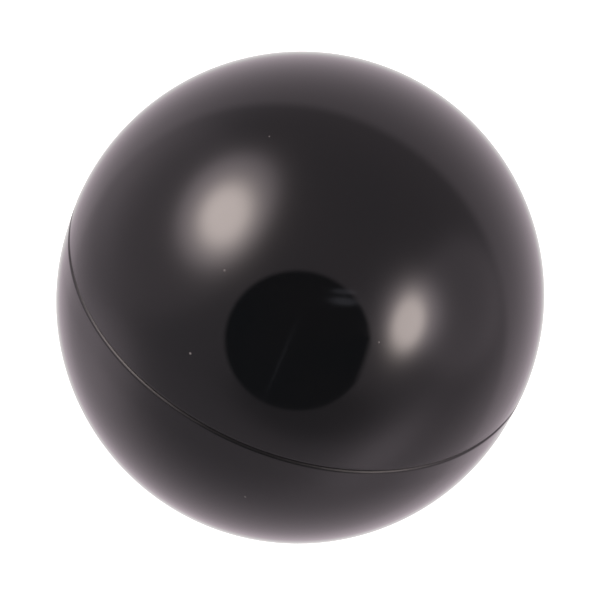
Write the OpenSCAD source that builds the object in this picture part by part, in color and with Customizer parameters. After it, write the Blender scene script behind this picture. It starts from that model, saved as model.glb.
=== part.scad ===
// Case opening friction ball: a tacky rubber ball in two half shells, stepped together and
// cemented round a firm core. It is pressed on a screwed watch case back and turned by hand.
//
// The ball's axis is +Z, through both poles. The origin is at the ball's middle, half way
// between the poles. The joint between the shells is a fine groove round the ball, a little
// above the middle. The upper shell is a plain part of a sphere. The lower shell is a sphere
// too, but ends in a straight land that opens upwards by the draft of its mould.

/* [Ball] */
// Diameter across the upper shell
ball_d = 64.5; // [50:0.5:90]
// How much longer the ball is from pole to pole than across
pole_extra = 1.2; // [0:0.1:3]
// Height of the joint above the ball's middle
seam_rise = 1.2; // [-1:0.1:2]
// Lean of the lower shell's land, in degrees from the ball's axis
land_draft = 2.5; // [0.5:0.5:5]

/* [Shells] */
// Thickness of the tacky rubber
shell_wall = 6; // [4.5:0.5:9]
// Radius of the crisp lip at the edge of the upper shell
upper_lip = 0.2; // [0.1:0.05:0.5]
// Radius of the rounder lip at the edge of the lower shell
lower_lip = 0.5; // [0.2:0.05:0.8]

/* [Step joint] */
// Height of the lower shell's tongue above the joint
tongue_h = 3.5; // [2:0.5:6]
// Thickness of the tongue
tongue_t = 2.4; // [1.5:0.1:3]

/* [Cement] */
// Thickness of the cement film between the shells
film_t = 0.2; // [0.1:0.05:0.3]

/* [Hidden] */
$fn = 160;

// Room around the ball for the cutting outlines
margin = 5;
// How far one outline stands through another where they blend, so that they cross cleanly
blend = 0.001;

// Poles, and the sphere of the upper shell
pole_z = (ball_d + pole_extra) / 2;
upper_r = ball_d / 2;
upper_z = pole_z - upper_r;

// Radius of the ball at the joint, on the upper shell's sphere
seam_r = sqrt(upper_r * upper_r - (seam_rise - upper_z) * (seam_rise - upper_z));

// Sphere of the lower shell: it touches the lower pole, and the land that leaves it along its
// own tangent reaches seam_r at the joint
lower_r = (seam_r - (seam_rise + pole_z) * tan(land_draft)) / (1 / cos(land_draft) - tan(land_draft));
lower_z = lower_r - pole_z;
land_z = lower_z - lower_r * sin(land_draft);

// Core: it fills the shells' hollow
core_r = upper_r - shell_wall;

// Joint faces: the film lies half above and half below the joint
joint_top = seam_rise + film_t / 2;
joint_low = seam_rise - film_t / 2;

// Step joint: the tongue stands on the inner side of the lower shell's edge
tongue_r = core_r + tongue_t;
tongue_z = joint_low + tongue_h;

// Centres of the lips, each tangent to its joint face and to the ball's outside
upper_lip_z = joint_top + upper_lip;
upper_lip_lean = asin((upper_lip_z - upper_z) / (upper_r - upper_lip));
upper_lip_r = (upper_r - upper_lip) * cos(upper_lip_lean);
lower_lip_z = joint_low - lower_lip;
lower_lip_r = seam_r + (lower_lip_z - seam_rise) * tan(land_draft) - lower_lip / cos(land_draft);

// Top of the land's outline, which stands above the joint until the joint cuts it
land_top_z = joint_low + lower_lip;
land_top_r = seam_r + (land_top_z - seam_rise) * tan(land_draft);

// Radius at which the cement ends, at the bottom of the groove
film_r = min(upper_lip_r, lower_lip_r);

// Right half of the plane, where the outlines are drawn: x is the radius, y is the height.
module right_of_axis() {
    translate([0, -pole_z - margin])
        square([upper_r + margin, 2 * (pole_z + margin)]);
}

// Everything above a height.
module above(z) {
    translate([0, z])
        square([upper_r + margin, pole_z + margin - z]);
}

// Everything below a height.
module below(z) {
    translate([0, -pole_z - margin])
        square([upper_r + margin, z + pole_z + margin]);
}

// Outline of the hollow, which is the core's own.
module core_outline() {
    intersection() {
        circle(r = core_r);
        right_of_axis();
    }
}

// An outline with its sharp corner at the joint made a rounded lip of the given radius. The
// lip's centre is at centre_r and centre_z, and its outer end leans by the given angle. Side
// is 1 where the joint face is above the lip, and -1 where it is below.
module lipped(lip_r, centre_r, centre_z, lean, side) {
    reach = 2 * lip_r;
    difference() {
        children();
        translate([centre_r, centre_z])
            polygon([
                [0, 0],
                [reach * cos(lean), -side * reach * sin(lean)],
                [reach, side * reach],
                [0, side * reach]
            ]);
    }
    translate([centre_r, centre_z])
        circle(r = lip_r + blend);
}

// Outline of the upper shell's outside.
module upper_outline() {
    intersection() {
        lipped(upper_lip, upper_lip_r, upper_lip_z, upper_lip_lean, -1)
            translate([0, upper_z])
                circle(r = upper_r);
        above(joint_top);
        right_of_axis();
    }
}

// Outline of the lower shell's outside: its sphere, and the land that leaves the sphere.
module lower_outline() {
    intersection() {
        lipped(lower_lip, lower_lip_r, lower_lip_z, land_draft, 1) {
            translate([0, lower_z])
                circle(r = lower_r);
            polygon([
                [0, land_z],
                [lower_r * cos(land_draft) - blend, land_z],
                [land_top_r - blend, land_top_z],
                [0, land_top_z]
            ]);
        }
        below(joint_low);
        right_of_axis();
    }
}

// Upper half shell: a part of a sphere with a rebate inside its edge for the tongue.
module upper_shell() {
    color([0.13, 0.12, 0.13])
        rotate_extrude()
            difference() {
                upper_outline();
                core_outline();
                translate([0, joint_top - margin])
                    square([tongue_r + film_t, tongue_z + film_t - joint_top + margin]);
            }
}

// Lower half shell: a bowl with a straight land at its edge and a tongue that stands inside
// the upper shell.
module lower_shell() {
    color([0.16, 0.15, 0.16])
        rotate_extrude()
            difference() {
                union() {
                    lower_outline();
                    translate([0, joint_low - margin])
                        square([tongue_r, tongue_h + margin]);
                }
                core_outline();
            }
}

// Cement: one thin film that follows the step, from the bottom of the groove to the core.
module seam_cement() {
    color([0.1, 0.09, 0.08])
        rotate_extrude()
            difference() {
                union() {
                    translate([tongue_r, joint_low])
                        square([film_r - tongue_r, film_t]);
                    translate([tongue_r, joint_low])
                        square([film_t, tongue_h + film_t]);
                    translate([0, tongue_z])
                        square([tongue_r + film_t, film_t]);
                }
                core_outline();
            }
}

// Firm core: it fills the hollow, so that the soft shells don't fold under the palm.
module core_ball() {
    color([0.3, 0.32, 0.34])
        rotate_extrude()
            core_outline();
}

upper_shell();
lower_shell();
seam_cement();
core_ball();
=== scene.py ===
"""Case opening friction ball: the finished look of a tacky rubber ball in two half shells.

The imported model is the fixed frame. Heights and radii are read from the boxes of its nodes, and
each piece here replaces the node of the same place with a finely turned mesh. Everything is in
metres, with the ball's axis on Z and the origin at the ball's middle.
"""

import logging
import math
import random
from dataclasses import dataclass, field
from enum import Enum
from typing import Callable

import bmesh
import bpy
from mathutils import Matrix, Vector, noise


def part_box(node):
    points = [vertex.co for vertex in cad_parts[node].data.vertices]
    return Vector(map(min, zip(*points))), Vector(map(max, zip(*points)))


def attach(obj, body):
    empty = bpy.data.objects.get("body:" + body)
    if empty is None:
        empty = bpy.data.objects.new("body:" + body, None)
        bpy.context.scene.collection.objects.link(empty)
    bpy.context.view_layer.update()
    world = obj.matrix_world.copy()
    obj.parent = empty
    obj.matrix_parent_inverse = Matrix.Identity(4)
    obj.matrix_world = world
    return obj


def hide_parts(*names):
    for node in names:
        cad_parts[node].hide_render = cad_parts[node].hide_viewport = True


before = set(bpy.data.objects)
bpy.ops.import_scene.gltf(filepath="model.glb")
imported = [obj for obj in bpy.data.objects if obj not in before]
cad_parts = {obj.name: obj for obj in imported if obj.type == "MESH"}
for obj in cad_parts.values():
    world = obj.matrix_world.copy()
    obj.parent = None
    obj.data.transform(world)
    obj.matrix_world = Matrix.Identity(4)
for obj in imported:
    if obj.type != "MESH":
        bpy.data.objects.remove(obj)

log = logging.getLogger("friction_ball")

MM = 0.001

Colour = tuple[float, float, float]
Point = tuple[float, float]


# ---------------------------------------------------------------------------------------------
# Sizes shared by the pieces
# ---------------------------------------------------------------------------------------------


@dataclass(frozen=True)
class BallPlan:
    """Heights and radii that the pieces share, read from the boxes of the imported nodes."""

    pole_top: float
    pole_low: float
    ball_r: float
    core_r: float
    joint_top: float
    joint_low: float
    tongue_top: float
    film_r: float
    tongue_t: float = 2.4 * MM
    upper_lip: float = 0.20 * MM
    lower_lip: float = 0.50 * MM
    land_draft: float = math.radians(2.5)

    @classmethod
    def from_frame(cls) -> "BallPlan":
        """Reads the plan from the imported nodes.

        Returns:
            The plan of this ball.
        """
        upper_low, upper_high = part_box("upper_shell")
        lower_low, lower_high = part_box("lower_shell")
        cement_low, cement_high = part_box("seam_cement")
        core_low, core_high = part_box("core_ball")
        return cls(
            pole_top=upper_high[2],
            pole_low=lower_low[2],
            ball_r=(upper_high[0] - upper_low[0]) / 2,
            core_r=(core_high[2] - core_low[2]) / 2,
            joint_top=upper_low[2],
            joint_low=cement_low[2],
            tongue_top=lower_high[2],
            film_r=(cement_high[0] - cement_low[0]) / 2,
        )

    @property
    def film_t(self) -> float:
        """Thickness of the cement film."""
        return self.joint_top - self.joint_low

    @property
    def tongue_r(self) -> float:
        """Outer radius of the lower shell's tongue."""
        return self.core_r + self.tongue_t

    @property
    def joint_z(self) -> float:
        """Height of the joint, at the middle of its film."""
        return (self.joint_top + self.joint_low) / 2

    @property
    def upper_z(self) -> float:
        """Height of the centre of the upper shell's sphere."""
        return self.pole_top - self.ball_r

    @property
    def joint_r(self) -> float:
        """Radius of the upper shell's sphere at the joint."""
        return math.sqrt(self.ball_r**2 - (self.joint_z - self.upper_z) ** 2)

    @property
    def lower_r(self) -> float:
        """Radius of the lower shell's sphere, which its land leaves along a tangent."""
        lean = math.tan(self.land_draft)
        reach = self.joint_r - (self.joint_z - self.pole_low) * lean
        return reach / (1 / math.cos(self.land_draft) - lean)

    @property
    def lower_z(self) -> float:
        """Height of the centre of the lower shell's sphere."""
        return self.pole_low + self.lower_r


# ---------------------------------------------------------------------------------------------
# Turning: meshes of revolution
# ---------------------------------------------------------------------------------------------


def arc(centre: Point, radius: float, start: float, end: float, steps: int) -> list[Point]:
    """Points along an arc of an outline.

    Args:
        centre: Radius and height of the arc's centre.
        radius: Radius of the arc.
        start: Angle of the first point, from the outward direction towards up.
        end: Angle of the last point.
        steps: Number of steps between them.

    Returns:
        The points, both ends included.
    """
    angles = [start + (end - start) * i / steps for i in range(steps + 1)]
    return [(centre[0] + radius * math.cos(a), centre[1] + radius * math.sin(a)) for a in angles]


@dataclass(frozen=True)
class Lathe:
    """Turns an outline of radius and height into a closed mesh round Z."""

    segments: int = 288
    on_axis: float = 1e-7
    sharp_from: float = math.radians(32)

    def turn(self, name: str, outline: list[Point], shift: Callable[[Vector], Vector]) -> bpy.types.Object:
        """Builds the mesh and its object.

        Args:
            name: Name of the piece.
            outline: Points of the outline in order, each a radius and a height.
            shift: Moves a turned point to its place on the real, slightly uneven piece.

        Returns:
            The new object, linked to the scene.
        """
        mesh = bmesh.new()
        rings = [self._ring(mesh, point, shift) for point in outline]
        closed = len(rings[0]) > 1 and len(rings[-1]) > 1
        pairs = list(zip(rings, rings[1:] + rings[:1])) if closed else list(zip(rings, rings[1:]))
        for here, there in pairs:
            self._bridge(mesh, here, there)
        bmesh.ops.recalc_face_normals(mesh, faces=mesh.faces)
        data = bpy.data.meshes.new(name)
        mesh.to_mesh(data)
        mesh.free()
        data.shade_smooth()
        data.set_sharp_from_angle(angle=self.sharp_from)
        piece = bpy.data.objects.new(name, data)
        bpy.context.scene.collection.objects.link(piece)
        return piece

    def _ring(self, mesh: bmesh.types.BMesh, point: Point, shift: Callable[[Vector], Vector]) -> list:
        """One ring of vertices, or a single one where the outline meets the axis."""
        radius, height = point
        if radius < self.on_axis:
            return [mesh.verts.new(shift(Vector((0.0, 0.0, height))))]
        turns = [2 * math.pi * i / self.segments for i in range(self.segments)]
        places = [Vector((radius * math.cos(t), radius * math.sin(t), height)) for t in turns]
        return [mesh.verts.new(shift(place)) for place in places]

    def _bridge(self, mesh: bmesh.types.BMesh, here: list, there: list) -> None:
        """Faces between two rings, as a fan where one of them is a single vertex."""
        for i in range(self.segments):
            j = (i + 1) % self.segments
            corners = [here[i % len(here)], here[j % len(here)], there[j % len(there)], there[i % len(there)]]
            mesh.faces.new(list(dict.fromkeys(corners)))


# ---------------------------------------------------------------------------------------------
# Shader building
# ---------------------------------------------------------------------------------------------


class Sketch:
    """A node tree with short calls for the nodes that the finishes and the studio use."""

    def __init__(self, tree: bpy.types.NodeTree) -> None:
        """Keeps the tree, emptied.

        Args:
            tree: The node tree to build in.
        """
        self.tree = tree
        tree.nodes.clear()

    def node(self, kind: str, **settings: object) -> bpy.types.Node:
        """Adds a node.

        Args:
            kind: The node's type name.
            settings: Properties to set on it.

        Returns:
            The new node.
        """
        made = self.tree.nodes.new(kind)
        for key, value in settings.items():
            setattr(made, key, value)
        return made

    def feed(self, socket: bpy.types.NodeSocket, value: object) -> None:
        """Links an output to a socket, or sets the socket where the value is plain."""
        if isinstance(value, bpy.types.NodeSocket):
            self.tree.links.new(value, socket)
        else:
            socket.default_value = value

    def math(self, operation: str, *values: object) -> bpy.types.NodeSocket:
        """A Math node.

        Args:
            operation: The node's operation.
            values: Its inputs, in order.

        Returns:
            Its output.
        """
        made = self.node("ShaderNodeMath", operation=operation)
        for socket, value in zip(made.inputs, values):
            self.feed(socket, value)
        return made.outputs[0]

    def vector(self, operation: str, *values: object, result: str = "Vector") -> bpy.types.NodeSocket:
        """A Vector Math node.

        Args:
            operation: The node's operation.
            values: Its inputs, in order.
            result: Name of the output wanted.

        Returns:
            That output.
        """
        made = self.node("ShaderNodeVectorMath", operation=operation)
        for socket, value in zip(made.inputs, values):
            self.feed(socket, value)
        return made.outputs[result]

    def ramp(self, value: object, low: float, high: float, out: Point = (0.0, 1.0)) -> bpy.types.NodeSocket:
        """A smooth step.

        Args:
            value: What is stepped.
            low: Where the step starts.
            high: Where the step ends.
            out: Results at its start and end.

        Returns:
            The stepped value.
        """
        made = self.node("ShaderNodeMapRange", interpolation_type="SMOOTHSTEP")
        names = ("Value", "From Min", "From Max", "To Min", "To Max")
        for name, entry in zip(names, (value, low, high, *out)):
            self.feed(made.inputs[name], entry)
        return made.outputs["Result"]

    def blend(self, share: object, first: object, second: object) -> bpy.types.NodeSocket:
        """Mixes two colours.

        Args:
            share: How much of the second colour.
            first: A colour or an output.
            second: A colour or an output.

        Returns:
            The mixed colour.
        """
        made = self.node("ShaderNodeMix", data_type="RGBA")
        for name, value in (("Factor_Float", share), ("A_Color", first), ("B_Color", second)):
            socket = next(s for s in made.inputs if s.identifier == name)
            self.feed(socket, (*value, 1.0) if isinstance(value, tuple) else value)
        return next(s for s in made.outputs if s.identifier == "Result_Color")

    def noise(self, where: object, scale: object, detail: float, rough: float = 0.5) -> bpy.types.NodeSocket:
        """A noise texture's value.

        Args:
            where: The coordinates.
            scale: Waves per metre.
            detail: Octaves.
            rough: Strength of the finer octaves.

        Returns:
            The value, about 0.5 on average.
        """
        made = self.node("ShaderNodeTexNoise")
        for name, value in (("Vector", where), ("Scale", scale), ("Detail", detail), ("Roughness", rough)):
            self.feed(made.inputs[name], value)
        return made.outputs["Fac"]

    def group(self, tree: bpy.types.NodeTree, **values: object) -> bpy.types.Node:
        """Places a node group.

        Args:
            tree: The group.
            values: Its inputs, with underscores for the spaces in their names.

        Returns:
            The group node.
        """
        made = self.node("ShaderNodeGroup", node_tree=tree)
        for name, value in values.items():
            self.feed(made.inputs[name.replace("_", " ").title()], value)
        return made


class Socket(Enum):
    """Kinds of socket on the effect groups."""

    NUMBER = "NodeSocketFloat"
    VECTOR = "NodeSocketVector"


def new_group(name: str, inputs: dict[str, Socket], outputs: dict[str, Socket]) -> tuple[Sketch, dict, dict]:
    """Starts a shader node group.

    Args:
        name: Name of the group.
        inputs: Names and kinds of its inputs.
        outputs: Names and kinds of its outputs.

    Returns:
        The sketch to build in, the inputs' outputs by name, and the output node's inputs by name.
    """
    tree = bpy.data.node_groups.new(name, "ShaderNodeTree")
    for label, kind in inputs.items():
        tree.interface.new_socket(name=label, in_out="INPUT", socket_type=kind.value)
    for label, kind in outputs.items():
        tree.interface.new_socket(name=label, in_out="OUTPUT", socket_type=kind.value)
    sketch = Sketch(tree)
    start, end = sketch.node("NodeGroupInput"), sketch.node("NodeGroupOutput")
    return sketch, {s.name: s for s in start.outputs}, {s.name: s for s in end.inputs}


@dataclass(frozen=True)
class Speck:
    """A speck of lint on the ball."""

    direction: Vector
    size: float
    strength: float


def scattered_specks(count: int, seed: int) -> list[Speck]:
    """Scatters specks of lint evenly over a ball.

    Args:
        count: How many specks.
        seed: Seed of the scatter.

    Returns:
        The specks.
    """
    chance = random.Random(seed)
    specks = []
    for _ in range(count):
        height, around = chance.uniform(-1.0, 1.0), chance.uniform(0.0, math.tau)
        level = math.sqrt(1.0 - height * height)
        direction = Vector((level * math.cos(around), level * math.sin(around), height))
        specks.append(Speck(direction, chance.uniform(0.12, 0.22) * MM, chance.uniform(0.10, 0.40)))
    return specks


@dataclass
class Effects:
    """The shader node groups that the finishes share, each built once."""

    joint_z: float
    ball_r: float
    speck_count: int = 14
    speck_seed: int = 6
    speck_core: float = 0.4
    moulded_skin: bpy.types.NodeTree = field(init=False)
    handling: bpy.types.NodeTree = field(init=False)
    joint_band: bpy.types.NodeTree = field(init=False)
    lint: bpy.types.NodeTree = field(init=False)

    def __post_init__(self) -> None:
        """Builds the groups."""
        self.moulded_skin = self._moulded_skin()
        self.handling = self._handling()
        self.joint_band = self._joint_band()
        self.lint = self._lint()

    def _moulded_skin(self) -> bpy.types.NodeTree:
        """The fine swell and grain that a mould leaves on cast rubber.

        Returns:
            A group that gives a height and a slow change of tone.
        """
        sketch, give, take = new_group(
            "moulded_skin",
            {"Where": Socket.VECTOR, "Grain Scale": Socket.NUMBER, "Swell Scale": Socket.NUMBER},
            {"Height": Socket.NUMBER, "Tone": Socket.NUMBER},
        )
        grain = sketch.noise(give["Where"], give["Grain Scale"], 4.0, 0.55)
        swell = sketch.noise(give["Where"], give["Swell Scale"], 1.0, 0.4)
        sketch.feed(take["Height"], sketch.math("MULTIPLY_ADD", grain, 0.12, swell))
        sketch.feed(take["Tone"], sketch.ramp(swell, 0.3, 0.7))
        return sketch.tree

    def _handling(self) -> bpy.types.NodeTree:
        """Dull patches where fingers and palms have been.

        Returns:
            A group that gives a mask.
        """
        sketch, give, take = new_group(
            "handling",
            {"Where": Socket.VECTOR, "Patch Scale": Socket.NUMBER, "Streak Scale": Socket.NUMBER},
            {"Mask": Socket.NUMBER},
        )
        patches = sketch.ramp(sketch.noise(give["Where"], give["Patch Scale"], 2.0, 0.5), 0.48, 0.68)
        streaks = sketch.ramp(sketch.noise(give["Where"], give["Streak Scale"], 5.0, 0.7), 0.4, 0.75)
        sketch.feed(take["Mask"], sketch.math("MULTIPLY", patches, streaks))
        return sketch.tree

    def _joint_band(self) -> bpy.types.NodeTree:
        """The strip beside the joint, where trimming and cement have dulled the rubber.

        Returns:
            A group that gives a mask that is 1 at the joint and fades out at the band's width.
        """
        sketch, give, take = new_group(
            "joint_band",
            {"Where": Socket.VECTOR, "Width": Socket.NUMBER},
            {"Mask": Socket.NUMBER},
        )
        split = sketch.node("ShaderNodeSeparateXYZ")
        sketch.feed(split.inputs[0], give["Where"])
        away = sketch.math("ABSOLUTE", sketch.math("SUBTRACT", split.outputs["Z"], self.joint_z))
        share = sketch.math("DIVIDE", away, give["Width"])
        sketch.feed(take["Mask"], sketch.ramp(share, 1.0, 0.3))
        return sketch.tree

    def _lint(self) -> bpy.types.NodeTree:
        """Specks of lint that the tacky rubber has picked up.

        Returns:
            A group that gives a mask.
        """
        sketch, give, take = new_group("lint", {"Where": Socket.VECTOR}, {"Mask": Socket.NUMBER})
        way = sketch.vector("NORMALIZE", give["Where"])
        mask = 0.0
        for speck in scattered_specks(self.speck_count, self.speck_seed):
            apart = sketch.vector("DISTANCE", way, tuple(speck.direction), result="Value")
            rim = speck.size / self.ball_r
            spot = sketch.ramp(apart, rim, self.speck_core * rim, (0.0, speck.strength))
            mask = sketch.math("MAXIMUM", spot, mask)
        sketch.feed(take["Mask"], mask)
        return sketch.tree


# ---------------------------------------------------------------------------------------------
# Finishes
# ---------------------------------------------------------------------------------------------


def new_material(name: str) -> tuple[bpy.types.Material, Sketch, bpy.types.Node, bpy.types.NodeSocket]:
    """Starts a material with a Principled shader.

    Args:
        name: Name of the material.

    Returns:
        The material, its sketch, its Principled node and the object's own coordinates.
    """
    material = bpy.data.materials.new(name)
    material.use_nodes = True
    sketch = Sketch(material.node_tree)
    shader = sketch.node("ShaderNodeBsdfPrincipled")
    output = sketch.node("ShaderNodeOutputMaterial")
    sketch.feed(output.inputs["Surface"], shader.outputs["BSDF"])
    return material, sketch, shader, sketch.node("ShaderNodeTexCoord").outputs["Object"]


@dataclass(frozen=True)
class TackyRubber:
    """Glossy, slightly tacky cast rubber: nearly a black mirror."""

    name: str
    body: Colour = (0.0030, 0.0037, 0.0042)
    warm: Colour = (0.0038, 0.0042, 0.0046)
    lint_colour: Colour = (0.30, 0.29, 0.28)
    polish: float = 0.045
    handled: float = 0.12
    trimmed: float = 0.40
    grain_per_m: float = 900.0
    swell_per_m: float = 70.0
    patch_per_m: float = 45.0
    streak_per_m: float = 420.0
    trimmed_width: float = 0.8 * MM
    lint_rough: float = 0.8
    lint_rise: float = 4.0
    bump_height: float = 0.006 * MM

    def build(self, effects: Effects) -> bpy.types.Material:
        """Builds the material.

        Args:
            effects: The shared node groups.

        Returns:
            The finished material.
        """
        material, sketch, shader, where = new_material(self.name)
        skin = sketch.group(
            effects.moulded_skin, where=where, grain_scale=self.grain_per_m, swell_scale=self.swell_per_m
        )
        hands = sketch.group(
            effects.handling, where=where, patch_scale=self.patch_per_m, streak_scale=self.streak_per_m
        )
        band = sketch.group(effects.joint_band, where=where, width=self.trimmed_width)
        lint = sketch.group(effects.lint, where=where)

        rubber = sketch.blend(skin.outputs["Tone"], self.body, self.warm)
        dusty = sketch.blend(lint.outputs["Mask"], rubber, self.lint_colour)
        sketch.feed(shader.inputs["Base Color"], dusty)

        worn = sketch.math("MULTIPLY_ADD", hands.outputs["Mask"], self.handled - self.polish, self.polish)
        dull = sketch.math("MULTIPLY_ADD", band.outputs["Mask"], self.trimmed - self.polish, worn)
        rough = sketch.math("MAXIMUM", dull, sketch.math("MULTIPLY", lint.outputs["Mask"], self.lint_rough))
        sketch.feed(shader.inputs["Roughness"], rough)

        bump = sketch.node("ShaderNodeBump")
        bump.inputs["Strength"].default_value = 1.0
        bump.inputs["Distance"].default_value = self.bump_height
        raised = sketch.math("MULTIPLY", lint.outputs["Mask"], self.lint_rise)
        height = sketch.math("ADD", skin.outputs["Height"], raised)
        sketch.feed(bump.inputs["Height"], height)
        sketch.feed(shader.inputs["Normal"], bump.outputs["Normal"])
        shader.inputs["IOR"].default_value = 1.5
        return material


@dataclass(frozen=True)
class RubberCement:
    """Dried black cement, a little lumpy where it was squeezed out."""

    name: str = "rubber_cement"
    body: Colour = (0.0065, 0.0058, 0.0052)
    pale: Colour = (0.016, 0.013, 0.010)
    least_rough: float = 0.38
    rough_range: float = 0.2
    bump_height: float = 0.03 * MM

    def build(self, effects: Effects) -> bpy.types.Material:
        """Builds the material.

        Args:
            effects: The shared node groups.

        Returns:
            The finished material.
        """
        material, sketch, shader, where = new_material(self.name)
        skin = sketch.group(effects.moulded_skin, where=where, grain_scale=2600.0, swell_scale=420.0)
        hands = sketch.group(effects.handling, where=where, patch_scale=300.0, streak_scale=1500.0)
        sketch.feed(shader.inputs["Base Color"], sketch.blend(hands.outputs["Mask"], self.body, self.pale))
        rough = sketch.math("MULTIPLY_ADD", skin.outputs["Tone"], self.rough_range, self.least_rough)
        sketch.feed(shader.inputs["Roughness"], rough)
        bump = sketch.node("ShaderNodeBump")
        bump.inputs["Strength"].default_value = 0.8
        bump.inputs["Distance"].default_value = self.bump_height
        sketch.feed(bump.inputs["Height"], skin.outputs["Height"])
        sketch.feed(shader.inputs["Normal"], bump.outputs["Normal"])
        return material


@dataclass(frozen=True)
class CoreRubber:
    """Firm grey core rubber, scuffed so that cement holds on it."""

    name: str = "core_rubber"
    body: Colour = (0.075, 0.082, 0.090)
    scuffed: Colour = (0.150, 0.158, 0.165)
    least_rough: float = 0.68
    rough_range: float = 0.15
    bump_height: float = 0.08 * MM

    def build(self, effects: Effects) -> bpy.types.Material:
        """Builds the material.

        Args:
            effects: The shared node groups.

        Returns:
            The finished material.
        """
        material, sketch, shader, where = new_material(self.name)
        skin = sketch.group(effects.moulded_skin, where=where, grain_scale=1400.0, swell_scale=90.0)
        scuffs = sketch.group(effects.handling, where=where, patch_scale=150.0, streak_scale=1900.0)
        rubber = sketch.blend(scuffs.outputs["Mask"], self.body, self.scuffed)
        sketch.feed(shader.inputs["Base Color"], rubber)
        rough = sketch.math("MULTIPLY_ADD", skin.outputs["Tone"], self.rough_range, self.least_rough)
        sketch.feed(shader.inputs["Roughness"], rough)
        bump = sketch.node("ShaderNodeBump")
        bump.inputs["Strength"].default_value = 0.7
        bump.inputs["Distance"].default_value = self.bump_height
        sketch.feed(bump.inputs["Height"], sketch.math("ADD", skin.outputs["Height"], scuffs.outputs["Mask"]))
        sketch.feed(shader.inputs["Normal"], bump.outputs["Normal"])
        return material


# ---------------------------------------------------------------------------------------------
# Pieces
# ---------------------------------------------------------------------------------------------


def settle(piece: bpy.types.Object, node: str, material: bpy.types.Material) -> None:
    """Dresses a piece, puts it on the ball and lets it stand for its node.

    Args:
        piece: The piece.
        node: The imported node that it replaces.
        material: Its finish.
    """
    piece.data.materials.append(material)
    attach(piece, "root")
    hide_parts(node)
    log.info("%s: %d vertices, replaces %s", piece.name, len(piece.data.vertices), node)


@dataclass
class HalfShells:
    """The two tacky rubber halves: the skin of the ball."""

    plan: BallPlan
    lathe: Lathe = Lathe()
    outer_steps: int = 120
    edge_steps: int = 14
    edge_zone: float = math.radians(3)
    lip_steps: int = 14
    inner_steps: int = 48
    swell: float = 0.010 * MM
    swell_per_m: float = 55.0

    def build(self, effects: Effects) -> None:
        """Builds and dresses both halves.

        Args:
            effects: The shared node groups.
        """
        upper = self.lathe.turn("upper_half", self.upper_outline(), self._uneven)
        settle(upper, "upper_shell", TackyRubber("tacky_rubber_upper").build(effects))
        lower = self.lathe.turn("lower_half", self.lower_outline(), self._uneven)
        finish = TackyRubber("tacky_rubber_lower", body=(0.0032, 0.0038, 0.0043))
        settle(lower, "lower_shell", finish.build(effects))

    def upper_outline(self) -> list[Point]:
        """Outline of the upper half, from its pole down the outside and back along the hollow.

        Returns:
            The points.
        """
        plan = self.plan
        lip_z = plan.joint_top + plan.upper_lip
        reach = plan.ball_r - plan.upper_lip
        lean = math.asin((lip_z - plan.upper_z) / reach)
        centre = (reach * math.cos(lean), lip_z)
        ball = (0.0, plan.upper_z)
        zone = lean + self.edge_zone
        rebate = plan.tongue_r + plan.film_t
        roof = plan.tongue_top + plan.film_t
        return [
            *arc(ball, plan.ball_r, math.pi / 2, zone, self.outer_steps)[:-1],
            *arc(ball, plan.ball_r, zone, lean, self.edge_steps)[:-1],
            *arc(centre, plan.upper_lip, lean, -math.pi / 2, self.lip_steps),
            (rebate, plan.joint_top),
            (rebate, roof),
            *arc((0.0, 0.0), plan.core_r, math.asin(roof / plan.core_r), math.pi / 2, self.inner_steps),
        ]

    def lower_outline(self) -> list[Point]:
        """Outline of the lower half, from its pole up the outside and back along the hollow.

        Returns:
            The points.
        """
        plan = self.plan
        draft = plan.land_draft
        lip_z = plan.joint_low - plan.lower_lip
        lip_r = plan.joint_r + (lip_z - plan.joint_z) * math.tan(draft) - plan.lower_lip / math.cos(draft)
        ball = (0.0, plan.lower_z)
        zone = -draft - self.edge_zone
        floor = math.asin(plan.tongue_top / plan.core_r)
        return [
            *arc(ball, plan.lower_r, -math.pi / 2, zone, self.outer_steps)[:-1],
            *arc(ball, plan.lower_r, zone, -draft, self.edge_steps),
            *arc((lip_r, lip_z), plan.lower_lip, -draft, math.pi / 2, self.lip_steps),
            (plan.tongue_r, plan.joint_low),
            (plan.tongue_r, plan.tongue_top),
            *arc((0.0, 0.0), plan.core_r, floor, -math.pi / 2, self.inner_steps),
        ]

    def _uneven(self, place: Vector) -> Vector:
        """The place of a point on real cast rubber, which sinks a little in slow waves."""
        sunk = (noise.noise(place * self.swell_per_m) - 1.0) / 2 * self.swell
        outside = place.length > (self.plan.ball_r + self.plan.core_r) / 2
        return place + place.normalized() * sunk if outside else place


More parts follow.
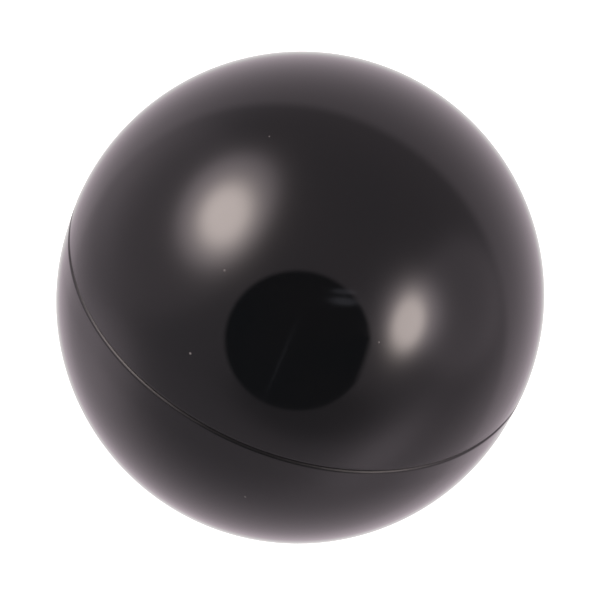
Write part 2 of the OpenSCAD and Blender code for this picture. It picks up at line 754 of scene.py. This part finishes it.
@dataclass
class CementSeam:
    """The film of cement in the stepped joint."""

    plan: BallPlan
    lathe: Lathe = Lathe()
    squeeze: float = 0.05 * MM
    squeeze_per_m: float = 260.0

    def build(self, effects: Effects) -> None:
        """Builds and dresses the film.

        Args:
            effects: The shared node groups.
        """
        film = self.lathe.turn("cement_film", self.outline(), self._squeezed)
        settle(film, "seam_cement", RubberCement().build(effects))

    def outline(self) -> list[Point]:
        """Outline of the film, which follows the step from the groove to the core.

        Returns:
            The points of a closed loop.
        """
        plan = self.plan
        step = plan.tongue_r + plan.film_t
        roof = plan.tongue_top + plan.film_t
        edge = plan.film_t / 2
        low, high = math.asin(plan.tongue_top / plan.core_r), math.asin(roof / plan.core_r)
        return [
            (plan.film_r - edge, plan.joint_low),
            (plan.film_r, plan.joint_z),
            (plan.film_r - edge, plan.joint_top),
            (step, plan.joint_top),
            (step, roof),
            *arc((0.0, 0.0), plan.core_r, high, low, 2),
            (plan.tongue_r, plan.tongue_top),
            (plan.tongue_r, plan.joint_low),
        ]

    def _squeezed(self, place: Vector) -> Vector:
        """The place of a point of the film, whose outer edge comes and goes round the ball."""
        flat = Vector((place.x, place.y, 0.0))
        if flat.length < self.plan.film_r - self.plan.film_t:
            return place
        back = (noise.noise(place * self.squeeze_per_m) - 1.0) / 2 * self.squeeze
        return place + flat.normalized() * back


@dataclass
class Core:
    """The firm ball that fills the shells."""

    plan: BallPlan
    lathe: Lathe = Lathe(segments=160)
    steps: int = 96
    scuff: float = 0.03 * MM
    scuff_per_m: float = 420.0

    def build(self, effects: Effects) -> None:
        """Builds and dresses the core.

        Args:
            effects: The shared node groups.
        """
        outline = arc((0.0, 0.0), self.plan.core_r, -math.pi / 2, math.pi / 2, self.steps)
        ball = self.lathe.turn("firm_core", outline, self._scuffed)
        settle(ball, "core_ball", CoreRubber().build(effects))

    def _scuffed(self, place: Vector) -> Vector:
        """The place of a point on the core, whose skin is slightly rough."""
        return place + place.normalized() * (noise.noise(place * self.scuff_per_m) - 1.0) / 2 * self.scuff


# ---------------------------------------------------------------------------------------------
# Studio
# ---------------------------------------------------------------------------------------------


@dataclass(frozen=True)
class View:
    """Where the ball is looked at from, as two angles, a distance and its size in the frame."""

    elevation: float = math.radians(41.0)
    lean: float = math.radians(23.8)
    distance: float = 0.9
    ball_share: float = 0.4057
    aim_right: float = 0.00035
    aim_up: float = 0.0021
    sensor: float = 36.0

    @property
    def axes(self) -> tuple[Vector, Vector, Vector]:
        """Right, up and towards the camera, as directions in the frame."""
        towards = Vector((0.0, -math.cos(self.elevation), math.sin(self.elevation)))
        pole = Vector((0.0, math.sin(self.elevation), math.cos(self.elevation)))
        side = Vector((1.0, 0.0, 0.0))
        right = side * math.cos(self.lean) + pole * math.sin(self.lean)
        up = pole * math.cos(self.lean) - side * math.sin(self.lean)
        return right, up, towards

    def build(self, plan: BallPlan) -> None:
        """Makes the camera.

        Args:
            plan: The ball's sizes.
        """
        right, up, towards = self.axes
        lens = bpy.data.cameras.new("camera")
        reach = math.sqrt(self.distance**2 - plan.ball_r**2)
        lens.sensor_width = self.sensor
        lens.lens = self.ball_share * self.sensor * reach / plan.ball_r
        lens.clip_start, lens.clip_end = 0.05, 20.0
        frame_width = plan.ball_r / self.ball_share
        aim = (right * self.aim_right + up * self.aim_up) * frame_width
        camera = bpy.data.objects.new("camera", lens)
        turn = Matrix((right, up, towards)).transposed().to_4x4()
        camera.matrix_world = Matrix.Translation(aim + towards * self.distance) @ turn
        bpy.context.scene.collection.objects.link(camera)
        bpy.context.scene.camera = camera
        log.info("camera: %.0f mm lens at %.2f m", lens.lens, self.distance)


@dataclass(frozen=True)
class TentAxes:
    """The light tent's own axes: its right, its up and its front, where the camera looks in."""

    right: Vector
    up: Vector
    front: Vector

    @classmethod
    def of_view(cls, view: View, tip: float) -> "TentAxes":
        """The axes of a tent set up for a view.

        Args:
            view: The view.
            tip: How far the tent's front points below the camera.

        Returns:
            The axes.
        """
        right, up, towards = view.axes
        return cls(
            right,
            up * math.cos(tip) + towards * math.sin(tip),
            towards * math.cos(tip) - up * math.sin(tip),
        )

    def direction(self, off_axis: float, round_axis: float) -> Vector:
        """A direction from the ball.

        Args:
            off_axis: Degrees away from the tent's front.
            round_axis: Degrees round its front, from its right towards its up.

        Returns:
            The direction in the frame.
        """
        off, around = math.radians(off_axis), math.radians(round_axis)
        level = self.right * math.cos(around) + self.up * math.sin(around)
        return level * math.sin(off) + self.front * math.cos(off)


class Tint(Enum):
    """Colours of light in the tent, at a brightness of 1."""

    LAMP = (1.0, 0.87, 0.80)
    CLOTH = (1.0, 0.86, 0.94)
    COOL = (0.93, 0.93, 1.08)
    WHITE = (1.0, 0.97, 0.97)

    def at(self, light: float) -> Colour:
        """The tint at a brightness, which is below 0 for shade."""
        return tuple(light * part for part in self.value)


@dataclass(frozen=True)
class Patch:
    """A soft oval of light or shade in the light tent.

    Its half width and half height are tangents of the angles from its middle to where it has
    faded by half. The higher the edge value, the sharper it fades.
    """

    name: str
    off_axis: float
    round_axis: float
    tint: Tint
    light: float
    half_width: float
    half_height: float
    tilt: float = 0.0
    edge: float = 4.0

    def add_to(
        self, sketch: Sketch, cloth: object, way: object, axes: TentAxes, oval: bpy.types.NodeTree
    ) -> bpy.types.NodeSocket:
        """Adds the patch to the colour of the tent.

        Args:
            sketch: The world's nodes.
            cloth: The colour so far.
            way: The direction looked along.
            axes: The tent's axes.
            oval: The node group that draws an oval.

        Returns:
            The colour with the patch.
        """
        centre = axes.direction(self.off_axis, self.round_axis)
        rise = (axes.up - centre * axes.up.dot(centre)).normalized()
        side = rise.cross(centre)
        turn = math.radians(self.tilt)
        drawn = sketch.group(
            oval,
            way=way,
            middle=tuple(centre),
            across=tuple(side * math.cos(turn) + rise * math.sin(turn)),
            above=tuple(rise * math.cos(turn) - side * math.sin(turn)),
            half_width=self.half_width,
            half_height=self.half_height,
            edge=self.edge,
        )
        drawn.label = self.name
        return sketch.vector("MULTIPLY_ADD", drawn.outputs["Share"], self.tint.at(self.light), cloth)


def oval_group() -> bpy.types.NodeTree:
    """The node group that draws a soft oval round a direction.

    Returns:
        A group that gives the oval's share, 1 in its middle and 0 far from it.
    """
    least_ahead = 0.02
    numbers = ("Half Width", "Half Height", "Edge")
    vectors = ("Way", "Middle", "Across", "Above")
    sketch, give, take = new_group(
        "soft_oval",
        {name: Socket.VECTOR for name in vectors} | {name: Socket.NUMBER for name in numbers},
        {"Share": Socket.NUMBER},
    )
    ahead = sketch.vector("DOT_PRODUCT", give["Way"], give["Middle"], result="Value")
    depth = sketch.math("MAXIMUM", ahead, least_ahead)
    squares = []
    for axis, half in (("Across", "Half Width"), ("Above", "Half Height")):
        along = sketch.vector("DOT_PRODUCT", give["Way"], give[axis], result="Value")
        share = sketch.math("DIVIDE", sketch.math("DIVIDE", along, depth), give[half])
        squares.append(sketch.math("MULTIPLY", share, share))
    far = sketch.math("SQRT", sketch.math("ADD", *squares))
    fade = sketch.math("ADD", 1.0, sketch.math("POWER", far, give["Edge"]))
    in_front = sketch.math("GREATER_THAN", ahead, least_ahead)
    sketch.feed(take["Share"], sketch.math("DIVIDE", in_front, fade))
    return sketch.tree


@dataclass(frozen=True)
class Rim:
    """The edge of a round part of the tent: a middle direction, a reach and how soft it ends."""

    off_axis: float
    round_axis: float
    reach: float
    soft: float

    def outside(self, sketch: Sketch, way: object, axes: TentAxes) -> bpy.types.NodeSocket:
        """How far a direction is outside the rim.

        Args:
            sketch: The world's nodes.
            way: The direction looked along.
            axes: The tent's axes.

        Returns:
            0 inside the rim, 1 outside it, and between them where it is soft.
        """
        middle = axes.direction(self.off_axis, self.round_axis)
        near = sketch.vector("DOT_PRODUCT", way, tuple(middle), result="Value")
        limit = math.cos(math.radians(self.reach))
        return sketch.ramp(near, limit + self.soft, limit - self.soft)


@dataclass
class LightTent:
    """A white light tent: dim cloth in front, lit cloth and a bright wall behind, and two lamps."""

    view: View
    tip: float = math.radians(1.5)
    low_light: float = 0.48
    high_light: float = 0.42
    front_fade: Point = (-0.8, 0.3)
    lit_light: float = 0.75
    wall_light: float = 1.1
    wall_fade: Point = (0.0, -1.2)
    grazed_light: float = 1.12
    grazed_fade: Point = (-0.90, -0.985)
    opening_light: float = 0.013
    backdrop_light: float = 1.2
    lit_cloth: Rim = Rim(off_axis=154, round_axis=57, reach=57, soft=0.06)
    opening: Rim = Rim(off_axis=21, round_axis=265, reach=33.5, soft=0.015)
    cut: Rim = Rim(off_axis=126, round_axis=352, reach=90, soft=0.04)
    patches: tuple[Patch, ...] = (
        Patch("left lamp", 54, 133, Tint.LAMP, 9, 0.22, 0.27, tilt=10, edge=4.5),
        Patch("left lamp's halo", 57, 131, Tint.CLOTH, 1.7, 0.40, 0.50, edge=8),
        Patch("left panel", 80, 150, Tint.CLOTH, 0.25, 0.95, 0.7, tilt=-25, edge=8),
        Patch("right lamp", 53, 346, Tint.LAMP, 8, 0.15, 0.21, tilt=-10, edge=5),
        Patch("right lamp's halo", 55, 350, Tint.CLOTH, 1.8, 0.27, 0.27, edge=5),
        Patch("right panel", 82, 356, Tint.CLOTH, 0.4, 0.5, 0.45, edge=8),
        Patch("floor glow on the left", 108, 197, Tint.CLOTH, 0.5, 0.35, 0.27, edge=3.5),
        Patch("floor glow in front", 90, 297, Tint.CLOTH, 0.6, 0.2, 0.35, tilt=20, edge=2.5),
        Patch("shade under the opening", 55, 272, Tint.CLOTH, -0.28, 0.65, 0.3, tilt=-15, edge=4.5),
    )
    in_opening: tuple[Patch, ...] = (
        Patch("upper bar", 20, 8, Tint.COOL, 0.35, 0.09, 0.02, tilt=-5, edge=5),
        Patch("lower bar", 20, 355, Tint.COOL, 0.40, 0.11, 0.03, tilt=-5, edge=5),
        Patch("cord", 30, 252, Tint.COOL, 0.10, 0.012, 0.3, tilt=-25, edge=4),
    )

    def build(self) -> None:
        """Makes the tent as the scene's world, plain white where the camera sees it."""
        world = bpy.data.worlds.new("light_tent")
        bpy.context.scene.world = world
        world.use_nodes = True
        sketch = Sketch(world.node_tree)
        oval = oval_group()
        axes = TentAxes.of_view(self.view, self.tip)
        way = sketch.node("ShaderNodeTexCoord").outputs["Generated"]

        seen = self._cloth(sketch, way, axes)
        for patch in self.patches:
            seen = patch.add_to(sketch, seen, way, axes, oval)
        seen = sketch.vector("MAXIMUM", seen, (0.0, 0.0, 0.0))
        past_cut = sketch.math("SUBTRACT", 1.0, self.cut.outside(sketch, way, axes))
        outside = sketch.math("MAXIMUM", self.opening.outside(sketch, way, axes), past_cut)
        seen = sketch.blend(outside, Tint.COOL.at(self.opening_light), seen)
        for patch in self.in_opening:
            seen = patch.add_to(sketch, seen, way, axes, oval)

        tent, plain = sketch.node("ShaderNodeBackground"), sketch.node("ShaderNodeBackground")
        sketch.feed(tent.inputs["Color"], seen)
        plain.inputs["Color"].default_value = (1.0, 1.0, 1.0, 1.0)
        plain.inputs["Strength"].default_value = self.backdrop_light
        either = sketch.node("ShaderNodeMixShader")
        sketch.feed(either.inputs[0], sketch.node("ShaderNodeLightPath").outputs["Is Camera Ray"])
        sketch.feed(either.inputs[1], tent.outputs[0])
        sketch.feed(either.inputs[2], plain.outputs[0])
        sketch.feed(sketch.node("ShaderNodeOutputWorld").inputs["Surface"], either.outputs[0])
        log.info("light tent: %d patches", len(self.patches) + len(self.in_opening))

    def _cloth(self, sketch: Sketch, way: object, axes: TentAxes) -> bpy.types.NodeSocket:
        """Colour of the bare cloth: dim in front, lit behind, and brightest at the far wall.

        Args:
            sketch: The world's nodes.
            way: The direction looked along.
            axes: The tent's axes.

        Returns:
            The colour.
        """
        high = sketch.vector("DOT_PRODUCT", way, tuple(axes.up), result="Value")
        near = sketch.vector("DOT_PRODUCT", way, tuple(axes.front), result="Value")
        rise = sketch.ramp(high, *self.front_fade)
        front = sketch.blend(rise, Tint.CLOTH.at(self.low_light), Tint.CLOTH.at(self.high_light))
        unlit = self.lit_cloth.outside(sketch, way, axes)
        cloth = sketch.blend(unlit, Tint.CLOTH.at(self.lit_light), front)
        to_wall = sketch.ramp(near, *self.wall_fade)
        cloth = sketch.blend(to_wall, cloth, Tint.CLOTH.at(self.wall_light))
        grazed = sketch.ramp(near, *self.grazed_fade)
        return sketch.blend(grazed, cloth, Tint.WHITE.at(self.grazed_light))


@dataclass(frozen=True)
class Floor:
    """The plain pale floor that the ball stands on."""

    half_width: float = 3.0
    colour: Colour = (0.86, 0.86, 0.86)
    mottle: float = 0.98
    mottle_per_m: float = 3.0
    rough: float = 0.9
    own_light: float = 0.95

    def build(self, plan: BallPlan) -> None:
        """Makes the floor under the ball.

        Args:
            plan: The ball's sizes.
        """
        data = bpy.data.meshes.new("floor")
        half, height = self.half_width, plan.pole_low
        corners = [(-half, -half, height), (half, -half, height), (half, half, height), (-half, half, height)]
        data.from_pydata(corners, [], [(0, 1, 2, 3)])
        floor = bpy.data.objects.new("floor", data)
        bpy.context.scene.collection.objects.link(floor)
        floor.visible_glossy = False
        material, sketch, shader, where = new_material("pale_floor")
        tone = sketch.noise(where, self.mottle_per_m, 2.0)
        pale = tuple(self.mottle * part for part in self.colour)
        sketch.feed(shader.inputs["Base Color"], sketch.blend(tone, self.colour, pale))
        shader.inputs["Roughness"].default_value = self.rough
        shader.inputs["Emission Color"].default_value = (1.0, 1.0, 1.0, 1.0)
        shader.inputs["Emission Strength"].default_value = self.own_light
        data.materials.append(material)
        log.info("floor at %.2f mm", height / MM)


# ---------------------------------------------------------------------------------------------


def main() -> None:
    """Builds the ball, then the studio round it."""
    logging.basicConfig(level=logging.INFO, format="%(name)s: %(message)s")
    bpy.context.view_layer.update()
    bpy.context.scene.view_settings.view_transform = "Standard"
    plan = BallPlan.from_frame()
    effects = Effects(plan.joint_z, plan.ball_r)
    for part in (HalfShells(plan), CementSeam(plan), Core(plan)):
        part.build(effects)
    view = View()
    view.build(plan)
    LightTent(view).build()
    Floor().build(plan)


if __name__ == "__main__":
    main()
